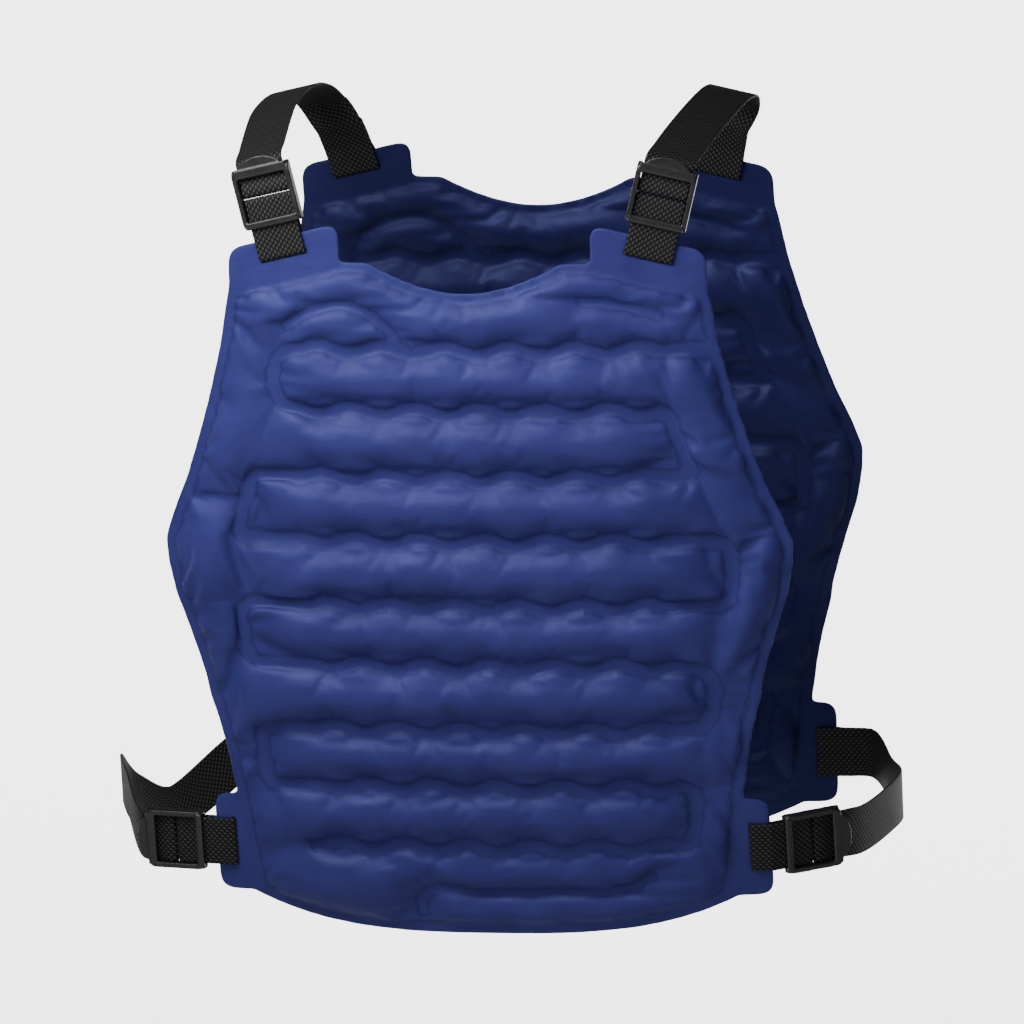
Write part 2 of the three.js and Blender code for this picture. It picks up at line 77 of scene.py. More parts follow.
# Panel outline. The rounding of a slot's rim widens it, so a slot is drawn close round the webbing.
CHEST_HALF = 193.0
PANEL_DROP = 400.5
NECK_HALF = 59.0
NECK_DEPTH = 18.0
NECK_CURVE = 1.9
HEM_HALF = 146.0
HEM_RISE = 21.5
HEM_CURVE = 3.2
HEM_EASE = 5.0
SHOULDER_TAB_X = 112.0
SHOULDER_TAB_WIDTH = 70.0
SIDE_TAB_DROP = 346.0
SIDE_TAB_WIDTH = 62.0
SIDE_TAB_LENGTH = 19.0
TAB_CORNER = 9.0
TAB_STRIP = 10.8
SLOT_HEIGHT = 1.7
SLOT_SLACK = 1.2
SHOULDER_SLOPE = math.radians(14)
SHOULDER_EDGE_Z = 32.5
BORDER_STEP = 4.0

# Quilting
WELD_WIDTH = 6.2
WELD_STEP = 2.0
SHORT_WELD_STEPS = 40
FLANGE = 5.5
HALF_WAVE = 19.7
WAVE_HEIGHT = 2.3
WAVE_SHIFT = 7.0
WAVE_SPAN = 118.0
WAVE_FADE = 14.0
FABRIC_HALF = 0.6

# The panels' distance from the wearer's middle, and how they curve round the torso
FRONT_DEPTH = 125.0
FRONT_SAG = 19.0
BACK_DEPTH = 117.0
BACK_SAG = -6.0
BELLY_DROP = 180.0
BELLY_RADIUS = 1700.0

# How far the straps stand away from their slots
STRAP_RISE = 68.0
STRAP_LEAN = 23.0
RIGHT_REACH = 68.0
LEFT_REACH = 92.0
WAIST_LIFT = 20.0
SEWN_END = 34.0
SEWN_CURL = 60.0
STRAP_LEAD = 3.0
STRAP_STEPS = 220
STRAP_TWIST = (0.12, 0.88)
RIGHT_BUCKLE_TURN = math.radians(24)

# Half widths of the panel from the tabs to the hem: shares of the drop and of half the chest width
SIDE_OUTLINE = (
    (0.0, 0.764), (0.088, 0.796), (0.165, 0.837), (0.23, 0.878), (0.292, 0.922), (0.35, 0.974),
    (0.387, 1.0), (0.425, 0.995), (0.474, 0.974), (0.519, 0.94), (0.562, 0.912), (0.6, 0.889),
    (0.632, 0.878), (0.669, 0.855), (0.712, 0.834), (0.774, 0.813), (0.86, 0.79), (1.0, 0.75),
)

# Weld lines of the serpentine: drop, and the closed end that joins the line to the next one: its side,
# where it starts and ends as millimetres from the middle, and its corner radius
WELDS = (
    (0.087, -1, 120.0, 120.0, 17.0),
    (0.18, 1, 123.0, 134.0, 6.0),
    (0.282, -1, 137.0, 146.0, 6.0),
    (0.38, 1, 156.0, 156.0, 12.0),
    (0.481, -1, 147.0, 145.0, 12.0),
    (0.575, 1, 143.0, 141.0, 17.0),
    (0.675, -1, 138.0, 136.0, 8.0),
    (0.766, 1, 128.0, 126.0, 10.0),
    (0.862, 0, 112.0, 112.0, 0.0),
)

# Short separate welds: the arched ones of the yoke and the little channel above the hem
SHORT_WELDS = (
    ((-112, -21), (-95, -12), (-73, -8), (-57, -15), (-42, -27)),
    ((70, -5), (84, -6), (100, -9), (118, -14)),
    ((-42, -388), (-44, -378), (-36, -372), (0, -374), (40, -373), (84, -371), (100, -362)),
)

# Shoulder strap between its slots: share of the way to the back, of the rise and of the lean
SHOULDER_ROUTE = (
    (0.13, 0.885, 0.7), (0.3, 0.96, 0.86), (0.42, 0.995, 0.96), (0.54, 1.0, 1.0),
    (0.67, 0.975, 1.0), (0.79, 0.91, 0.96), (0.88, 0.8, 0.85), (0.94, 0.65, 0.69),
)

# Waist straps between their slots: share of the way to the back, of the reach and of the lift
RIGHT_ROUTE = ((0.2, 0.86, 0.0), (0.46, 1.0, 0.0), (0.65, 0.95, -0.2), (0.79, 0.78, -0.3))
LEFT_ROUTE = ((0.24, 0.84, 0.75), (0.44, 0.98, 0.6), (0.62, 0.99, -0.6), (0.77, 0.84, -1.4))

# Mesh and its curves, and how near a point of the mesh has to be to count as welded
MESH_STEP = 3.7
GRID_CLEAR = 0.62 * MESH_STEP
ON_SEAM = 0.05
ON_WELD = 0.25
CORNER_STEPS = 7
TURN_STEPS = 8
CURVE_STEPS = 24

# Simulation, at ten times the real size: the fabric is drawn in from its cut size to its welds over the
# first frames, while the pressure fills it
SIM_SCALE = 0.01
SIM_FRAMES = 20
SIM_DRAW = 8
SIM_SEED = 4
SIM_LIFT = (0.2, 1.2)
SIM_SETTINGS = {
    "quality": 6,
    "mass": 0.02,
    "air_damping": 1.0,
    "tension_stiffness": 30,
    "compression_stiffness": 30,
    "shear_stiffness": 12,
    "bending_stiffness": 1.3,
    "tension_damping": 5,
    "compression_damping": 5,
    "shear_damping": 5,
    "bending_damping": 0.3,
    "uniform_pressure_force": 50,
}

# How much more fabric than room each channel and margin has, and how unevenly it lies
TUBE_EXCESS = 0.145
MARGIN_EXCESS = 0.13
MARGIN_START = 118.0
MARGIN_BLEND = 22.0
FOLD_SIZE = 19.0
FOLD_DEPTH = 5.6
TUBE_UNEVEN = 0.4
MAX_PUFF = 12.0

# Camera, from the photograph's angle: its distance in metres and its lens make it nearly free of
# perspective. It aims at a point to the right of and below the front neckline.
CAMERA_AZIMUTH = math.radians(12.2)
CAMERA_ELEVATION = math.radians(14.5)
CAMERA_ROLL = math.radians(2.6)
CAMERA_DISTANCE = 12.0
CAMERA_LENS = 703.2
AIM_RIGHT = 28.8
AIM_UP = -131.1

# Floor and lights in metres: name, place, the point that each light faces, its two sides and its power.
# Two wide lights below the vest face the floor alone, so that it is pale from the front and from behind.
FLOOR_Z = -1.1
FLOOR_CORNERS = ((-12, -8), (12, -8), (12, 30), (-12, 30))
LIGHTS = (
    ("key", (-0.38, -0.6, 0.52), (0, -0.12, -0.13), (0.8, 0.45), 13),
    ("overhead", (0.15, -0.5, 0.9), (0, -0.12, -0.1), (1.0, 0.4), 2),
    ("fill", (1.2, -1.6, -0.1), (0, -0.1, -0.25), (0.8, 1.0), 0.5),
    ("floor_behind", (0, 7.5, -0.6), (0, 7.5, FLOOR_Z), (14, 12.5), 2700),
    ("floor_before", (0, -4.5, -0.6), (0, -4.5, FLOOR_Z), (9, 6), 250),
)
WORLD_STRENGTH = 0.02

# Sizes that follow from those above
BUCKLE_WIDTH = WEB_WIDTH + 2 * (CLEAR + RAIL_WIDTH)
WRAP_RADIUS = BAR_THICK / 2 + CLEAR + WEB_THICK / 2
WRAP_REACH = WRAP_RADIUS + WEB_THICK / 2
BAR_GAP = 2 * CLEAR - WEAVE_RELIEF
BUCKLE_FOOT = BUCKLE_FROM_SLOT - BUCKLE_LENGTH / 2
BUCKLE_HEAD = BUCKLE_FROM_SLOT + BUCKLE_LENGTH / 2
LOOP_TURN = BUCKLE_FROM_SLOT - BAR_GAP / 2 - WRAP_REACH + CLEAR
STRAP_TURN = BUCKLE_FROM_SLOT + BAR_GAP / 2 + WRAP_REACH - CLEAR
HINGE = TAB_STRIP + CLEAR
SHOULDER_SLOT_Z = SHOULDER_EDGE_Z - TAB_STRIP / math.cos(SHOULDER_SLOPE)
NECK_Z = WEB_THICK / 2 - STRAP_RISE - SHOULDER_SLOT_Z


def vec(*values):
    return np.array(values, float)


def unit(v):
    return v / np.linalg.norm(v)


def unit_rows(rows):
    return rows / np.linalg.norm(rows, axis=1)[:, None]


def length_along(points):
    """How far along a polyline each of its points lies."""
    steps = np.linalg.norm(np.diff(points, axis=0), axis=1)
    return np.concatenate([[0], np.cumsum(steps)])


def smooth(low, high, value):
    """Smooth step from 0 at low to 1 at high."""
    t = np.clip((value - low) / (high - low), 0, 1)
    return t * t * (3 - 2 * t)


# Outline of a panel in its own plane

def half_width(z):
    drops, halves = zip(*SIDE_OUTLINE)
    return CHEST_HALF * np.interp(-z / PANEL_DROP, drops, halves)


def upper_edge(x):
    x = np.abs(x)
    neck = NECK_DEPTH * np.minimum(x / NECK_HALF, 1) ** NECK_CURVE
    return neck - np.maximum(0, x - SHOULDER_TAB_X + SHOULDER_TAB_WIDTH / 2) * math.tan(SHOULDER_SLOPE)


def lower_edge(x):
    return -PANEL_DROP + HEM_RISE * (np.abs(x) / HEM_HALF) ** HEM_CURVE


def weld_z(number, x):
    """Height of a weld line. Neighbouring lines wave against each other, and run level in the margins."""
    fade = 1 - smooth(WAVE_SPAN - WAVE_FADE, WAVE_SPAN, np.abs(x - WAVE_SHIFT))
    wave = WAVE_HEIGHT * np.cos(math.pi * (x - WAVE_SHIFT) / HALF_WAVE) * fade
    return -WELDS[number][0] * PANEL_DROP + (wave if number % 2 else -wave)


def resample(points, step, closed=False):
    """Points at an even distance of about one step along a polyline."""
    points = np.asarray(points, float)
    if closed:
        points = np.vstack([points, points[:1]])
    along = length_along(points)
    count = max(2, int(round(along[-1] / step)))
    at = np.linspace(0, along[-1], count + 1)[: count if closed else count + 1]
    return np.stack([np.interp(at, along, points[:, k]) for k in range(points.shape[1])], axis=1)


def bezier(a, b, c, steps):
    return [tuple((1 - t) ** 2 * a + 2 * t * (1 - t) * b + t ** 2 * c) for t in np.linspace(0, 1, steps)]


def rounded(corners, radii):
    """Closed outline whose corners are rounded by short curves."""
    made = []
    count = len(corners)
    for k, radius in enumerate(radii):
        here = np.asarray(corners[k], float)
        if radius == 0:
            made.append(here)
            continue
        before = here + unit(np.asarray(corners[k - 1], float) - here) * radius
        after = here + unit(np.asarray(corners[(k + 1) % count], float) - here) * radius
        made += bezier(before, here, after, CORNER_STEPS)
    return made


def border(top, foot):
    """Right border of the quilted area between two heights."""
    heights = np.linspace(top, foot, max(2, int((top - foot) / BORDER_STEP)))
    return [(half_width(z), z) for z in heights]


def mirrored(right_half):
    """A whole closed outline from its right half, which runs from the top middle to the bottom middle."""
    left_half = [(-x, z) for x, z in reversed(right_half[1:-1])]
    return right_half + left_half


def neckline():
    tab_start = SHOULDER_TAB_X - SHOULDER_TAB_WIDTH / 2
    xs = np.concatenate([np.linspace(0, NECK_HALF, 20), [tab_start]])
    return [(x, float(upper_edge(x))) for x in xs]


def hem():
    xs = np.linspace(half_width(-PANEL_DROP + HEM_RISE), 0, 40)
    return [(x, float(lower_edge(x))) for x in xs]


def quilt_outline():
    """The quilted area without its tabs."""
    shoulder = SHOULDER_TAB_X + SHOULDER_TAB_WIDTH / 2
    corner = (shoulder, float(upper_edge(shoulder)))
    foot = HEM_RISE + HEM_EASE - PANEL_DROP
    return mirrored(neckline() + [corner] + border(-BORDER_STEP, foot) + hem())


def panel_outline():
    """The whole panel with its four tabs."""
    low = SHOULDER_TAB_X - SHOULDER_TAB_WIDTH / 2
    high = SHOULDER_TAB_X + SHOULDER_TAB_WIDTH / 2
    slope = math.tan(SHOULDER_SLOPE) * SHOULDER_TAB_WIDTH / 2
    shoulder = rounded(
        [(low, float(upper_edge(low))), (low, SHOULDER_EDGE_Z + slope), (high, SHOULDER_EDGE_Z - slope),
         (high, float(upper_edge(high)))], [0, TAB_CORNER, TAB_CORNER, 0])
    top = -SIDE_TAB_DROP + SIDE_TAB_WIDTH / 2
    foot = -SIDE_TAB_DROP - SIDE_TAB_WIDTH / 2
    reach = side_tab_reach()
    side = rounded([(half_width(top), top), (reach, top), (reach, foot), (half_width(foot), foot)],
                   [0, TAB_CORNER, TAB_CORNER, 0])
    edge = border(-BORDER_STEP, top + BORDER_STEP)
    return mirrored(neckline()[:-1] + shoulder + edge + side + hem())


def side_tab_reach():
    return half_width(-SIDE_TAB_DROP) + SIDE_TAB_LENGTH


def slot_outline(hand, place):
    """Corners of the hole that webbing passes through."""
    length = (WEB_WIDTH + SLOT_SLACK) / 2
    if place == "shoulder":
        middle = vec(hand * SHOULDER_TAB_X, SHOULDER_SLOT_Z)
        out = vec(hand * math.sin(SHOULDER_SLOPE), math.cos(SHOULDER_SLOPE))
    else:
        middle = vec(hand * (side_tab_reach() - TAB_STRIP), -SIDE_TAB_DROP)
        out = vec(hand, 0)
    along = vec(-out[1], out[0]) * length
    foot = middle - out * SLOT_HEIGHT
    return [middle - along, middle + along, foot + along, foot - along]


def serpentine():
    """Middle line of the long weld, from the right border down to the last full line's end."""
    path = []
    start = half_width(-WELDS[0][0] * PANEL_DROP) - FLANGE
    for number, (_, turn, upper, lower, radius) in enumerate(WELDS):
        side = turn if turn else -1
        stop = side * (upper - radius)
        xs = np.arange(start, stop, WELD_STEP * np.sign(stop - start))
        path += [(x, float(weld_z(number, x))) for x in xs]
        if not turn:
            break
        start = side * (lower - radius)
        top = float(weld_z(number, stop))
        foot = float(weld_z(number + 1, start))
        first = vec(stop, top), vec(side * upper, top), vec(side * upper, top - radius)
        second = vec(side * lower, foot + radius), vec(side * lower, foot), vec(start, foot)
        path += bezier(*first, TURN_STEPS) + bezier(*second, TURN_STEPS)
    return np.array(path)


def catmull(points, count):
    """Centripetal Catmull-Rom curve through points, sampled evenly."""
    points = [np.asarray(p, float) for p in points]
    knots = [2 * points[0] - points[1], *points, 2 * points[-1] - points[-2]]
    made = []
    for a, b, c, d in zip(knots, knots[1:], knots[2:], knots[3:]):
        t1 = np.linalg.norm(b - a) ** 0.5
        t2 = t1 + np.linalg.norm(c - b) ** 0.5
        t3 = t2 + np.linalg.norm(d - c) ** 0.5
        for t in np.linspace(t1, t2, CURVE_STEPS, endpoint=False):
            ab = ((t1 - t) * a + t * b) / t1
            bc = ((t2 - t) * b + (t - t1) * c) / (t2 - t1)
            cd = ((t3 - t) * c + (t - t2) * d) / (t3 - t2)
            abc = ((t2 - t) * ab + t * bc) / t2
            bcd = ((t3 - t) * bc + (t - t1) * cd) / (t3 - t1)
            made.append(((t2 - t) * abc + (t - t1) * bcd) / (t2 - t1))
    made.append(points[-1])
    return resample(made, length_along(made)[-1] / count)


def offset_sides(path, distance):
    """The two lines beside a path."""
    tangent = np.gradient(path, axis=0)
    normal = unit_rows(np.stack([-tangent[:, 1], tangent[:, 0]], axis=1))
    return path + normal * distance, path - normal * distance


def shrunk(outline, distance):
    """A closed outline moved inwards. The outline runs clockwise seen from the front."""
    points = np.asarray(outline)
    tangent = np.roll(points, -1, axis=0) - np.roll(points, 1, axis=0)
    normal = unit_rows(np.stack([tangent[:, 1], -tangent[:, 0]], axis=1))
    return points + normal * distance


def inside(polygon, points):
    """Which points lie inside a closed polygon."""
    polygon = np.asarray(polygon)
    found = np.zeros(len(points), bool)
    for (x1, z1), (x2, z2) in zip(polygon, np.roll(polygon, -1, axis=0)):
        if z1 == z2:
            continue
        crosses = (z1 > points[:, 1]) != (z2 > points[:, 1])
        found ^= crosses & (points[:, 0] < (x2 - x1) * (points[:, 1] - z1) / (z2 - z1) + x1)
    return found


def distance_to(points, targets):
    tree = KDTree(len(targets))
    for k, (x, z) in enumerate(targets):
        tree.insert((x, z, 0), k)
    tree.balance()
    return np.array([tree.find((x, z, 0))[2] for x, z in points])


def weld_lines():
    """Middle lines of all inner welds with their widths."""
    short = [(catmull(points, SHORT_WELD_STEPS), WELD_WIDTH / 2) for points in SHORT_WELDS]
    return [(serpentine(), WELD_WIDTH), *short]


def filled(outline, loops):
    """Triangles within an outline that keep to the edges of all loops: points and faces."""
    points, edges = [], []
    for loop in loops:
        first = len(points)
        points += [tuple(p) for p in loop]
        edges += [(first + k, first + (k + 1) % len(loop)) for k in range(len(loop))]
    rise = MESH_STEP * math.sqrt(3) / 2
    grid = np.array([(x + (row % 2) * MESH_STEP / 2, z)
                     for row, z in enumerate(np.arange(-PANEL_DROP, outline[:, 1].max(), rise))
                     for x in np.arange(-CHEST_HALF, CHEST_HALF, MESH_STEP)])
    grid = grid[inside(outline, grid)]
    grid = grid[distance_to(grid, points) > GRID_CLEAR]
    points += [tuple(p) for p in grid]
    found = delaunay_2d_cdt([Vector(p) for p in points], edges, [], 0, 1e-4)
    return np.array([tuple(p) for p in found[0]]), np.array([tuple(f) for f in found[2]])


def flat_panel():
    """Flat mesh of one fabric layer that follows the outline and the welds: points, faces, welded points."""
    quilt = resample(quilt_outline(), MESH_STEP, closed=True)
    outline = resample(panel_outline(), MESH_STEP, closed=True)
    seam = resample(shrunk(quilt, FLANGE), MESH_STEP, closed=True)
    slots = [resample(slot_outline(hand, place), MESH_STEP, closed=True)
             for hand in (-1, 1) for place in ("shoulder", "waist")]
    loops = [outline, seam, *slots]
    for path, width in weld_lines():
        left, right = offset_sides(resample(path, 1.0), width / 2)
        loops.append(resample(np.vstack([left, right[::-1]]), MESH_STEP, closed=True))
    flat, faces = filled(outline, loops)
    middles = flat[faces].mean(axis=1)
    kept = inside(outline, middles)
    for slot in slots:
        kept &= ~inside(slot, middles)
    faces = faces[kept]
    used, numbered = np.unique(faces, return_inverse=True)
    flat, faces = flat[used], numbered.reshape(faces.shape)
    welded = ~inside(seam, flat) | (distance_to(flat, seam) < ON_SEAM)
    for path, width in weld_lines():
        welded |= distance_to(flat, resample(path, 0.5)) < width / 2 + ON_WELD
    return flat, faces, welded


def fabric_excess(flat):
    """The fabric as it was cut: larger than the flat panel in every channel, so that it swells and folds."""
    x, z = flat.T
    lines = range(len(WELDS))
    tops = [upper_edge(x) - FLANGE] + [weld_z(k, x) - WELD_WIDTH / 2 for k in lines]
    feet = [weld_z(k, x) + WELD_WIDTH / 2 for k in lines] + [lower_edge(x) + FLANGE]
    in_margin = smooth(MARGIN_START, MARGIN_START + MARGIN_BLEND, np.abs(x))
    share = TUBE_EXCESS + (MARGIN_EXCESS - TUBE_EXCESS) * in_margin
    knots = np.column_stack([knot for pair in zip(tops, feet) for knot in pair])
    moves = np.column_stack(
        [way * (top - foot) * share / 2 for top, foot in zip(tops, feet) for way in (1, -1)])
    up = np.array([np.interp(-height, -knot, move) for height, knot, move in zip(z, knots, moves)])
    room = half_width(z) - FLANGE - MARGIN_START
    across = np.clip((np.abs(x) - MARGIN_START) / room, 0, 1) - 0.5
    side = np.sign(x) * MARGIN_EXCESS * room * across * in_margin
    seed_set(SIM_SEED)
    rough = np.array([noise_vector(Vector((px, pz, 0)) / FOLD_SIZE)[:2] for px, pz in flat])
    rough *= (FOLD_DEPTH * in_margin + TUBE_UNEVEN)[:, None]
    return np.column_stack([x + side, z + up]) + rough


def swell(flat, faces, welded):
    """Fills one layer by a cloth simulation: x, z and the height over the welds of each point."""
    rng = np.random.default_rng(SIM_SEED)
    lift = np.where(welded, 0, rng.uniform(*SIM_LIFT, len(flat)))
    drawn = np.column_stack([flat, lift]) * SIM_SCALE
    cut = np.column_stack([fabric_excess(flat), lift]) * SIM_SCALE
    mesh = bpy.data.meshes.new("swell")
    mesh.from_pydata(cut.tolist(), [], faces.tolist())
    work = add_object("swell", mesh)
    work.shape_key_add(name="cut")
    key = work.shape_key_add(name="welded")
    key.data.foreach_set("co", drawn.astype(np.float32).ravel())
    for number, share in ((1, 0.0), (1 + SIM_DRAW, 1.0)):
        key.value = share
        key.keyframe_insert("value", frame=number)
    pins = work.vertex_groups.new(name="welds")
    pins.add(np.flatnonzero(welded).tolist(), 1.0, "REPLACE")
    add_cloth(work)
    for number in range(1, SIM_FRAMES + 1):
        bpy.context.scene.frame_set(number)
    result = work.evaluated_get(bpy.context.evaluated_depsgraph_get())
    co = np.zeros(len(flat) * 3, np.float32)
    result.data.vertices.foreach_get("co", co)
    bpy.context.scene.frame_set(1)
    bpy.data.objects.remove(work)
    co = co.reshape(-1, 3).astype(float) / SIM_SCALE
    co[:, 2] = np.clip(co[:, 2], 0, MAX_PUFF)
    return co


def add_cloth(work):
    """Cloth that is held at its welds and blown up by pressure."""
    cloth = work.modifiers.new("Cloth", "CLOTH")
    cloth.collision_settings.use_collision = False
    cloth.point_cache.frame_start = 1
    cloth.point_cache.frame_end = SIM_FRAMES
    cloth.settings.vertex_group_mass = "welds"
    cloth.settings.use_pressure = True
    cloth.settings.effector_weights.gravity = 0
    for setting, value in SIM_SETTINGS.items():
        setattr(cloth.settings, setting, value)


def bend(side, x, z, outward=0.0):
    """A point of a panel, bent round the torso. side is -1 for the front and 1 for the back."""
    depth, sag = (FRONT_DEPTH, FRONT_SAG) if side < 0 else (BACK_DEPTH, BACK_SAG)
    away = depth - sag * (x / CHEST_HALF) ** 2 - (z + BELLY_DROP) ** 2 / (2 * BELLY_RADIUS)
    return np.stack(np.broadcast_arrays(x, side * (away + outward), z + NECK_Z), axis=-1)


def finish_piece(piece, node, material):
    """What every piece needs: its body, the node that it stands for and its material."""
    piece.data.materials.append(material)
    for polygon in piece.data.polygons:
        polygon.use_smooth = True
    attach(piece, "root")
    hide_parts(node)
    return piece


def add_object(name, data):
    made = bpy.data.objects.new(name, data)
    bpy.context.scene.collection.objects.link(made)
    return made


def new_piece(name, points, faces):
    """Object from points in millimetres and faces."""
    mesh = bpy.data.meshes.new(name)
    mesh.from_pydata((np.asarray(points) * MM).tolist(), [], [tuple(int(v) for v in f) for f in faces])
    mesh.update()
    return add_object(name, mesh)


def add_attribute(piece, name, values):
    made = piece.data.attributes.new(name, "FLOAT", "POINT")
    made.data.foreach_set("value", values.astype(np.float32))


def apply_modifiers(piece):
    """Replaces the mesh by what its modifiers make of it."""
    graph = bpy.context.evaluated_depsgraph_get()
    mesh = bpy.data.meshes.new_from_object(piece.evaluated_get(graph))
    piece.modifiers.clear()
    old = piece.data
    piece.data = mesh
    bpy.data.meshes.remove(old)
    mesh.name = piece.name


def rim_edges(faces):
    """Edges that one face alone has."""
    edges = {}
    for face in faces:
        for a, b in zip(face, np.roll(face, -1)):
            pair = (min(a, b), max(a, b))
            edges[pair] = None if pair in edges else (a, b)
    return [edge for edge in edges.values() if edge is not None]


def quilted_panel(name, node, side, layer, faces, welded, material):
    """Two swollen layers, welded face to face, bent round the torso."""
    count = len(layer)
    x, z, height = layer.T
    outer = bend(side, x, z, FABRIC_HALF + height)
    inner = bend(side, x, z, -FABRIC_HALF - height)
    made = [tuple(f) for f in faces] + [tuple(f[::-1] + count) for f in faces]
    made += [(b, a, a + count, b + count) for a, b in rim_edges(faces)]
    piece = new_piece(name, np.vstack([outer, inner]), made)
    # The welded points are marked so that the material can paint a shade line along the sides of the welds.
    add_attribute(piece, "weld", np.tile(welded, 2))
    # The inner layer is marked so that the material can paint shade on the faces towards the wearer.
    add_attribute(piece, "inside", np.repeat([0, 1], count))
    work = bmesh.new()
    work.from_mesh(piece.data)
    bmesh.ops.recalc_face_normals(work, faces=work.faces)
    bmesh.ops.join_triangles(
        work, faces=[f for f in work.faces if len(f.verts) == 3], angle_face_threshold=0.7,
        angle_shape_threshold=1.2)
    work.to_mesh(piece.data)
    work.free()
    rounding = piece.modifiers.new("Rounding", "SUBSURF")
    rounding.levels = rounding.render_levels = 1
    apply_modifiers(piece)
    finish_piece(piece, node, material)
    return piece


# Frames of the slots, and the webbing that passes through them

def slot_frame(side, hand, place):
    """Edge of a tab's slot, the way out of the panel, the way along the slot and the way off its face."""
    if place == "shoulder":
        x, z, turn = hand * SHOULDER_TAB_X, SHOULDER_SLOT_Z, SHOULDER_SLOPE
    else:
        x, z, turn = hand * (side_tab_reach() - TAB_STRIP), -SIDE_TAB_DROP, math.pi / 2
    dx, dz = hand * math.sin(turn), math.cos(turn)
    out = unit(bend(side, x + dx, z + dz) - bend(side, x - dx, z - dz))
    along = unit(bend(side, x + dz, z - dx) - bend(side, x - dz, z + dx))
    off = unit(np.cross(out, along))
    if off[1] * side < 0:
        off = -off
    return {"at": bend(side, x, z), "out": out, "along": along, "off": off}


def in_frame(place, out, off, along=0.0):
    return place["at"] + out * place["out"] + off * place["off"] + along * place["along"]


def hung_frame(place, turn):
    """The frame that a buckle hangs in, turned towards the wearer just past the tab's edge."""
    out = place["out"] * math.cos(turn) - place["off"] * math.sin(turn)
    off = place["off"] * math.cos(turn) + place["out"] * math.sin(turn)
    return {"at": in_frame(place, HINGE, 0) - HINGE * out, "out": out, "along": place["along"], "off": off}


def curled(place, out, off):
    """A point of the webbing that leaves a back tab: flat on the tab, then curling forwards."""
    angle = max(0.0, out - TAB_STRIP) / SEWN_CURL
    radius = SEWN_CURL + off
    flat = min(out, TAB_STRIP)
    return in_frame(place, flat + radius * math.sin(angle), radius * math.cos(angle) - SEWN_CURL)


def half_turn(place, out, way, start, steps=12):
    """Stations of a half turn round a bar or a slot's edge."""
    made = []
    for angle in np.linspace(0, math.pi, steps + 1):
        beyond = way * WRAP_RADIUS * math.sin(angle)
        made.append((in_frame(place, out + beyond, start * WRAP_RADIUS * math.cos(angle)), place["along"]))
    return made


def anchor_stations(place, hung):
    outer = half_turn(hung, LOOP_TURN, 1, 1)
    inner = half_turn(place, EDGE_TURN, -1, -1)
    beside = [(in_frame(place, HINGE, sign * WRAP_RADIUS), place["along"]) for sign in (-1, 1)]
    return [*outer, beside[0], *inner, beside[1], outer[0]]


def strap_stations(front, back, route):
    """Stations of a long strap from its tail behind the buckle to its sewn end at the back."""
    under_lip = WEB_THICK / 2 + CLEAR - BAR_THICK / 4
    turn = half_turn(front, STRAP_TURN, -1, -1)
    tail = (in_frame(front, BUCKLE_HEAD - LIP_WIDTH / 2, -WRAP_RADIUS), front["along"])
    points = [
        in_frame(front, STRAP_TURN + BAR_WIDTH / 2, WRAP_RADIUS),
        in_frame(front, BUCKLE_HEAD - LIP_WIDTH, under_lip),
        in_frame(front, BUCKLE_HEAD + STRAP_LEAD, under_lip),
        *route,
        curled(back, SEWN_END, -WRAP_RADIUS),
        curled(back, SEWN_END / 2, -WRAP_RADIUS),
    ]
    across = back["along"] * np.sign(front["along"] @ back["along"])
    run = catmull(points, STRAP_STEPS)
    turned = smooth(*STRAP_TWIST, np.linspace(0, 1, len(run)))
    middle = [(at, unit(front["along"] * (1 - t) + across * t)) for at, t in zip(run, turned)]
    end = [(at, across) for at, _ in half_turn(back, EDGE_TURN, -1, -1)]
    beside = WEB_THICK + CLEAR - WRAP_RADIUS
    sewn = [(in_frame(back, TAB_STRIP, WRAP_RADIUS), across)]
    sewn += [(curled(back, out, beside), across)
             for out in np.linspace(TAB_STRIP + 2 * WRAP_RADIUS, SEWN_END, 6)]
    return [tail, *turn, *middle, *end, *sewn]


def shoulder_route(front, back):
    made = []
    for share, rise, lean in SHOULDER_ROUTE:
        at = front["at"] + (back["at"] - front["at"]) * share
        made.append(at + vec(np.sign(at[0]) * STRAP_LEAN * lean, 0, STRAP_RISE * rise))
    return made


def waist_route(front, back):
    table, reach = (LEFT_ROUTE, LEFT_REACH) if front["at"][0] < 0 else (RIGHT_ROUTE, RIGHT_REACH)
    made = []
    for share, out, lift in table:
        at = front["at"] + (back["at"] - front["at"]) * share
        made.append(at + vec(np.sign(at[0]) * reach * out, 0, WAIST_LIFT * lift))
    return made


def webbing_axes(stations, ring):
    """Even rows along a band: the middle of each, and its directions across the band and off its face."""
    path = np.array([np.concatenate([at, across]) for at, across in stations])
    along = length_along(path[:, :3])
    rows = int(along[-1] / WEAVE_STEP / WEAVE_REPEAT) * WEAVE_REPEAT
    at = np.linspace(0, along[-1], rows, endpoint=not ring)
    path = np.stack([np.interp(at, along, path[:, k]) for k in range(6)], axis=1)
    centre, across = path[:, :3], path[:, 3:]
    ahead = np.roll(centre, -1, axis=0) - np.roll(centre, 1, axis=0)
    if not ring:
        ahead[0], ahead[-1] = centre[1] - centre[0], centre[-1] - centre[-2]
    ahead = unit_rows(ahead)
    wide = unit_rows(across - ahead * (across * ahead).sum(axis=1)[:, None])
    return centre, wide, np.cross(ahead, wide)


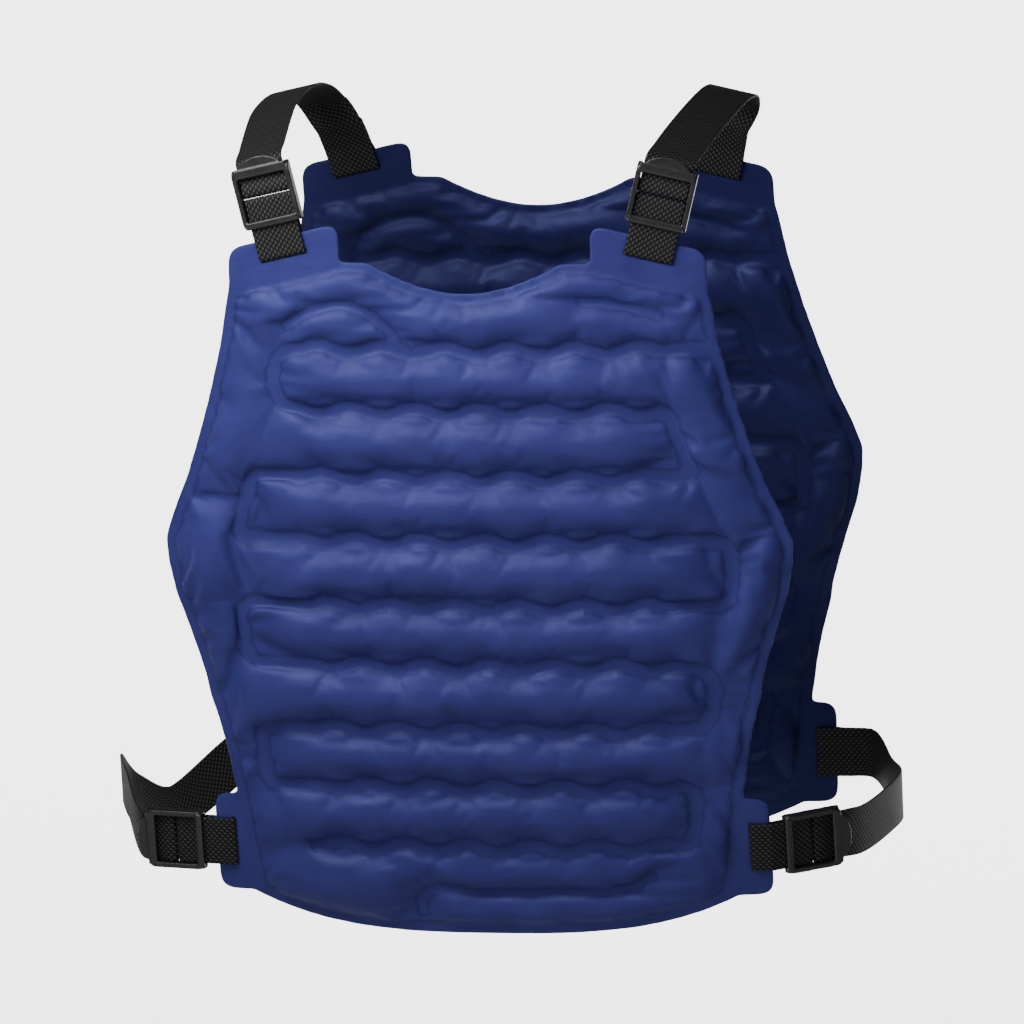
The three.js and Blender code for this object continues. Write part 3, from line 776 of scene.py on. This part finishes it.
def webbing_faces(rows, columns, ring):
    """Faces of a band whose upper points come first, row by row, and then its lower points."""
    def at(i, j, side):
        return (side * rows + i % rows) * columns + j

    faces = []
    for i in range(rows if ring else rows - 1):
        for j in range(columns - 1):
            faces.append([at(*c, 0) for c in ((i, j), (i, j + 1), (i + 1, j + 1), (i + 1, j))])
            faces.append([at(*c, 1) for c in ((i, j), (i + 1, j), (i + 1, j + 1), (i, j + 1))])
        for j in (0, columns - 1):
            corners = [at(i, j, 0), at(i + 1, j, 0), at(i + 1, j, 1), at(i, j, 1)]
            faces.append(corners if j == 0 else corners[::-1])
    for i in () if ring else (0, rows - 1):
        for j in range(columns - 1):
            corners = [at(i, j, 0), at(i, j, 1), at(i, j + 1, 1), at(i, j + 1, 0)]
            faces.append(corners if i == 0 else corners[::-1])
    return faces


def webbing_piece(name, node, stations, ring, material):
    """Band of webbing along stations, with the relief of its weave on both faces."""
    centre, wide, thick = webbing_axes(stations, ring)
    rows, columns = len(centre), RIBS * RIB_STEPS + 1
    share = np.linspace(-0.5, 0.5, columns)
    column, row = np.meshgrid(np.arange(columns), np.arange(rows))
    step = (row + column // RIB_STEPS * (WEAVE_REPEAT // 2)) % WEAVE_REPEAT
    raised = (column % RIB_STEPS == 1) & (step < WEAVE_REPEAT / 2)
    at_edge = (column == 0) | (column == columns - 1)
    relief = np.where(raised, WEAVE_RELIEF, 0) - np.where(at_edge, EDGE_THINNING, 0)
    half = WEB_THICK / 2 - WEAVE_RELIEF + relief
    flat = centre[:, None] + wide[:, None] * (share * WEB_WIDTH)[None, :, None]
    upper = flat + thick[:, None] * half[..., None]
    lower = flat - thick[:, None] * half[..., None]
    points = np.concatenate([upper.reshape(-1, 3), lower.reshape(-1, 3)])
    piece = new_piece(name, points, webbing_faces(rows, columns, ring))
    # Marks the raised yarns, on which the material paints a highlight.
    add_attribute(piece, "relief", np.tile(raised.ravel(), 2))
    return finish_piece(piece, node, material)


# Ladder buckle

def prism(work, rings):
    """Adds the solid between two rings of points to a bmesh."""
    low, high = [[work.verts.new(point) for point in ring] for ring in rings]
    work.faces.new(low)
    work.faces.new(high[::-1])
    for k in range(len(low)):
        after = (k + 1) % len(low)
        work.faces.new((low[k], high[k], high[after], low[after]))


def extruded(work, place, profile, low, high):
    """A profile of out and off values, extruded along the slot's direction."""
    prism(work, [[in_frame(place, out, off, along) for out, off in profile] for along in (low, high)])


def bar_profile(out, off, width, thick):
    radius = thick / 2
    half = width / 2 - radius
    right = [(out + half + radius * math.cos(a), off + radius * math.sin(a))
             for a in np.linspace(-math.pi / 2, math.pi / 2, 9)]
    left = [(out - half - radius * math.cos(a), off - radius * math.sin(a))
            for a in np.linspace(-math.pi / 2, math.pi / 2, 9)]
    return right + left


def rail_profile():
    """Side of the buckle: flat below, arched above."""
    half = BUCKLE_LENGTH / 2
    foot = -BAR_THICK / 2 - CLEAR
    top = WRAP_REACH + BAR_THICK
    corners = [(-half, foot), (half, foot), (half, top), (-half, top)]
    made = rounded(corners, [BAR_THICK, BAR_THICK, LIP_WIDTH, LIP_WIDTH])
    return [(BUCKLE_FROM_SLOT + out, off) for out, off in made]


def lip_plate(work, place, low, thick):
    """D-shaped lip over the long strap."""
    half = WEB_WIDTH / 2
    root = BUCKLE_HEAD - LIP_WIDTH / 2
    outline = [(root - LIP_ROOT, -half), (root - LIP_ROOT, half)]
    outline += [(root + LIP_REACH * math.sin(a), half * math.cos(a))
                for a in np.linspace(LIP_CORNER, math.pi - LIP_CORNER, 13)]
    prism(work, [[in_frame(place, out, off, along) for out, along in outline] for off in (low, low + thick)])


def buckle_piece(name, node, place, material):
    """Moulded ladder buckle: its rails, bars and lip fused with small fillets."""
    work = bmesh.new()
    over = WRAP_RADIUS + WEB_THICK / 2 + CLEAR + BAR_THICK / 2
    middle = BAR_WIDTH / 2 - BAR_THICK / 2
    half = BUCKLE_WIDTH / 2
    for low, high in ((-half, RAIL_WIDTH - half), (half - RAIL_WIDTH, half)):
        extruded(work, place, rail_profile(), low, high)
    inner = half - RAIL_WIDTH / 2
    for out, off, width in (
        (LOOP_TURN - middle, 0, BAR_WIDTH),
        (STRAP_TURN + middle, 0, BAR_WIDTH),
        (BUCKLE_FOOT + BAR_WIDTH / 2, over, BAR_WIDTH),
        (BUCKLE_HEAD - LIP_WIDTH / 2, over - CLEAR, LIP_WIDTH),
    ):
        extruded(work, place, bar_profile(out, off, width, BAR_THICK), -inner, inner)
    lip_plate(work, place, over - CLEAR - BAR_THICK / 2, LIP_THICK)
    bmesh.ops.recalc_face_normals(work, faces=work.faces)
    mesh = bpy.data.meshes.new(name)
    work.to_mesh(mesh)
    work.free()
    piece = add_object(name, mesh)
    fuse = piece.modifiers.new("Fuse", "REMESH")
    fuse.mode = "VOXEL"
    fuse.voxel_size = FUSE_VOXEL
    soften = piece.modifiers.new("Soften", "SMOOTH")
    soften.iterations = 4
    soften.factor = 0.5
    apply_modifiers(piece)
    co = np.zeros(len(piece.data.vertices) * 3, np.float32)
    piece.data.vertices.foreach_get("co", co)
    piece.data.vertices.foreach_set("co", co * MM)
    return finish_piece(piece, node, material)


# Materials

def new_material(name):
    material = bpy.data.materials.new(name)
    material.use_nodes = True
    nodes = material.node_tree.nodes
    return material, nodes, material.node_tree.links, nodes["Principled BSDF"]


def noise(nodes, links, vector, scale, detail, roughness=0.55):
    node = nodes.new("ShaderNodeTexNoise")
    node.inputs["Scale"].default_value = scale
    node.inputs["Detail"].default_value = detail
    node.inputs["Roughness"].default_value = roughness
    links.new(vector, node.inputs["Vector"])
    return node.outputs["Fac"]


def ramp(nodes, links, value, stops):
    node = nodes.new("ShaderNodeValToRGB")
    elements = node.color_ramp.elements
    while len(elements) < len(stops):
        elements.new(0.5)
    for element, (at, colour) in zip(elements, stops):
        element.position = at
        element.color = (*colour, 1)
    links.new(value, node.inputs["Fac"])
    return node.outputs["Color"]


def grey(value):
    return (value, value, value)


def attribute(nodes, name):
    node = nodes.new("ShaderNodeAttribute")
    node.attribute_name = name
    return node.outputs["Fac"]


def bump(nodes, links, height, strength, distance, normal=None):
    node = nodes.new("ShaderNodeBump")
    node.inputs["Strength"].default_value = strength
    node.inputs["Distance"].default_value = distance
    links.new(height, node.inputs["Height"])
    if normal is not None:
        links.new(normal, node.inputs["Normal"])
    return node.outputs["Normal"]


def object_coordinates(nodes):
    return nodes.new("ShaderNodeTexCoord").outputs["Object"]


def scaled(nodes, links, vector, scale):
    node = nodes.new("ShaderNodeMapping")
    node.inputs["Scale"].default_value = scale
    links.new(vector, node.inputs["Vector"])
    return node.outputs["Vector"]


def coated_fabric():
    """Satin coated nylon: a fine weave under a smooth film, with small creases. Painted shade darkens the
    faces towards the wearer and a line along each side of a weld, where the channel rises from it."""
    material, nodes, links, shader = new_material("coated_nylon")
    place = object_coordinates(nodes)
    patches = noise(nodes, links, place, 26, 4)
    colour = ramp(nodes, links, patches, [
        (0.3, (0.024, 0.025, 0.135)), (0.52, (0.03, 0.031, 0.16)), (0.75, (0.037, 0.038, 0.19))])
    # Painted shade, multiplied into the colour: a line along each side of a weld, and the faces towards the
    # wearer
    painted_shades = {
        "weld": [(0.1, grey(1)), (0.45, grey(0.7)), (0.8, grey(0.85)), (1, grey(1))],
        "inside": [(0, grey(1)), (1, (0.36, 0.36, 0.4))],
    }
    for name, stops in painted_shades.items():
        shaded = nodes.new("ShaderNodeVectorMath")
        shaded.operation = "MULTIPLY"
        links.new(colour, shaded.inputs[0])
        links.new(ramp(nodes, links, attribute(nodes, name), stops), shaded.inputs[1])
        colour = shaded.outputs["Vector"]
    links.new(colour, shader.inputs["Base Color"])
    gloss = ramp(nodes, links, noise(nodes, links, place, 60, 5), [(0.3, grey(0.46)), (0.75, grey(0.6))])
    links.new(gloss, shader.inputs["Roughness"])
    shader.inputs["Specular IOR Level"].default_value = 0.42
    shader.inputs["Specular Tint"].default_value = (0.4, 0.46, 1, 1)
    shader.inputs["Sheen Weight"].default_value = 0.12
    shader.inputs["Sheen Roughness"].default_value = 0.4
    shader.inputs["Sheen Tint"].default_value = (0.35, 0.45, 1, 1)
    creases = noise(nodes, links, scaled(nodes, links, place, (1, 1, 1.8)), 45, 6, 0.6)
    creased = bump(nodes, links, creases, 0.35, 0.0018)
    weave = noise(nodes, links, place, 2600, 2)
    links.new(bump(nodes, links, weave, 0.12, 0.0002, creased), shader.inputs["Normal"])
    return material


def webbing_material():
    """Black polyester webbing. The yarns of each raised rib are painted a little lighter: a painted
    highlight.
    """
    material, nodes, links, shader = new_material("webbing_yarn")
    place = object_coordinates(nodes)
    yarn = noise(nodes, links, place, 1500, 3)
    raised = attribute(nodes, "relief")
    # Painted highlight: the raised yarns are lighter than the black webbing between them.
    colour = ramp(nodes, links, raised, [(0.1, grey(0.002)), (0.9, (0.055, 0.055, 0.058))])
    links.new(colour, shader.inputs["Base Color"])
    shader.inputs["Roughness"].default_value = 0.7
    shader.inputs["Specular IOR Level"].default_value = 0.25
    links.new(bump(nodes, links, yarn, 0.4, 0.0003), shader.inputs["Normal"])
    return material


def plastic_material():
    """Moulded black acetal with a fine grain."""
    material, nodes, links, shader = new_material("moulded_black")
    place = object_coordinates(nodes)
    tone = noise(nodes, links, place, 90, 3)
    colour = ramp(nodes, links, tone, [(0.3, (0.011, 0.011, 0.012)), (0.7, (0.017, 0.017, 0.019))])
    links.new(colour, shader.inputs["Base Color"])
    gloss = ramp(nodes, links, noise(nodes, links, place, 300, 3), [(0.3, grey(0.3)), (0.7, grey(0.42))])
    links.new(gloss, shader.inputs["Roughness"])
    grain = noise(nodes, links, place, 2200, 2)
    links.new(bump(nodes, links, grain, 0.15, 0.0002), shader.inputs["Normal"])
    return material


def floor_material():
    material, nodes, links, shader = new_material("pale_floor")
    tone = noise(nodes, links, object_coordinates(nodes), 2, 2)
    colour = ramp(nodes, links, tone, [(0.3, grey(0.86)), (0.7, grey(0.88))])
    links.new(colour, shader.inputs["Base Color"])
    shader.inputs["Roughness"].default_value = 0.8
    return material


# Stage, lights and camera

def add_floor():
    mesh = bpy.data.meshes.new("floor")
    mesh.from_pydata([(x, y, FLOOR_Z) for x, y in FLOOR_CORNERS], [], [(0, 1, 2, 3)])
    floor = add_object("floor", mesh)
    floor.data.materials.append(floor_material())


def add_light(name, place, aim, size, power):
    data = bpy.data.lights.new(name, "AREA")
    data.shape = "RECTANGLE"
    data.size, data.size_y = size
    data.energy = power
    light = add_object(name, data)
    light.location = place
    light.rotation_euler = (Vector(aim) - Vector(place)).to_track_quat("-Z", "Y").to_euler()


def add_world():
    world = bpy.data.worlds.new("studio")
    world.use_nodes = True
    background = world.node_tree.nodes["Background"]
    background.inputs["Color"].default_value = (1, 1, 1, 1)
    background.inputs["Strength"].default_value = WORLD_STRENGTH
    bpy.context.scene.world = world


def add_camera():
    """Camera at the photograph's angle, aimed from the neckline of the front panel."""
    level = Vector((math.cos(CAMERA_AZIMUTH), math.sin(CAMERA_AZIMUTH), 0))
    ahead = Vector((-math.sin(CAMERA_AZIMUTH), math.cos(CAMERA_AZIMUTH), 0))
    back = Vector((0, 0, 1)) * math.sin(CAMERA_ELEVATION) - ahead * math.cos(CAMERA_ELEVATION)
    upright = back.cross(level)
    right = level * math.cos(CAMERA_ROLL) - upright * math.sin(CAMERA_ROLL)
    up = level * math.sin(CAMERA_ROLL) + upright * math.cos(CAMERA_ROLL)
    neck = Vector(bend(-1, 0.0, 0.0) * MM)
    aim = neck + right * AIM_RIGHT * MM + up * AIM_UP * MM
    data = bpy.data.cameras.new("camera")
    data.lens = CAMERA_LENS
    data.sensor_width = 36
    data.clip_end = 100
    camera = add_object("camera", data)
    camera.location = aim + back * CAMERA_DISTANCE
    camera.rotation_euler = Matrix((right, up, back)).transposed().to_euler()
    bpy.context.scene.camera = camera


def build():
    fabric, yarn, plastic = coated_fabric(), webbing_material(), plastic_material()
    flat, faces, welded = flat_panel()
    layer = swell(flat, faces, welded)
    quilted_panel("front_panel_fabric", "front_panel", -1, layer, faces, welded, fabric)
    quilted_panel("back_panel_fabric", "back_panel", 1, layer, faces, welded, fabric)
    for hand_name, hand in (("left", -1), ("right", 1)):
        for place in ("shoulder", "waist"):
            front, back = slot_frame(-1, hand, place), slot_frame(1, hand, place)
            turned = RIGHT_BUCKLE_TURN if (place, hand) == ("waist", 1) else 0.0
            hung = hung_frame(front, turned)
            route = shoulder_route(front, back) if place == "shoulder" else waist_route(front, back)
            name = f"{place}_{hand_name}"
            webbing_piece(f"{name}_webbing", f"{name}_strap", strap_stations(hung, back, route), False, yarn)
            webbing_piece(f"{name}_loop", f"{name}_anchor_loop", anchor_stations(front, hung), True, yarn)
            buckle_piece(f"{name}_ladder_lock", f"{name}_buckle", hung, plastic)


add_camera()
add_floor()
add_world()
for row in LIGHTS:
    add_light(*row)
build()
